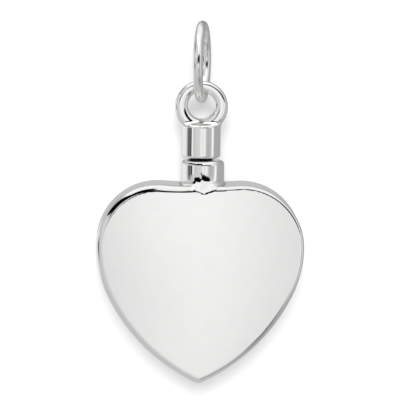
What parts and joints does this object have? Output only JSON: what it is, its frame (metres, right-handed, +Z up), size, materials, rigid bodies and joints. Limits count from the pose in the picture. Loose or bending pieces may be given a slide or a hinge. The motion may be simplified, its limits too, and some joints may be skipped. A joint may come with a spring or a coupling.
{
  "type": "keepsake urn pendant",
  "caption": "Hollow heart keepsake urn pendant with a round collar, a screw cap with a cast loop, and a closed jump ring that it hangs from.",
  "frame": {"origin": "inner top of the jump ring, where a chain carries the pendant", "axes": "+Z up, along the hanging pendant; -Y towards the viewer, out of the heart's front face; +X to the viewer's right"},
  "size_m": [0.02, 0.008, 0.0351],
  "materials": {
    "polished_silver": "mirror-polished sterling silver",
    "silver_wire": "drawn and tumbled sterling silver wire"
  },
  "bodies": {
    "ring": {"jump_ring": "silver_wire"},
    "cap": {"screw_cap": "polished_silver"},
    "heart": {"heart_vessel": "polished_silver"}
  },
  "joints": [
    {"name": "swing", "type": "hinge", "parent": "ring", "child": "cap", "pos_m": [0, 0, -0.00658], "axis": [0.1392, 0.9903, 0], "range_deg": [-90, 90]},
    {"name": "unscrew", "type": "slide", "parent": "cap", "child": "heart", "axis": [0, 0, -1], "range_m": [0, 0.006]}
  ]
}
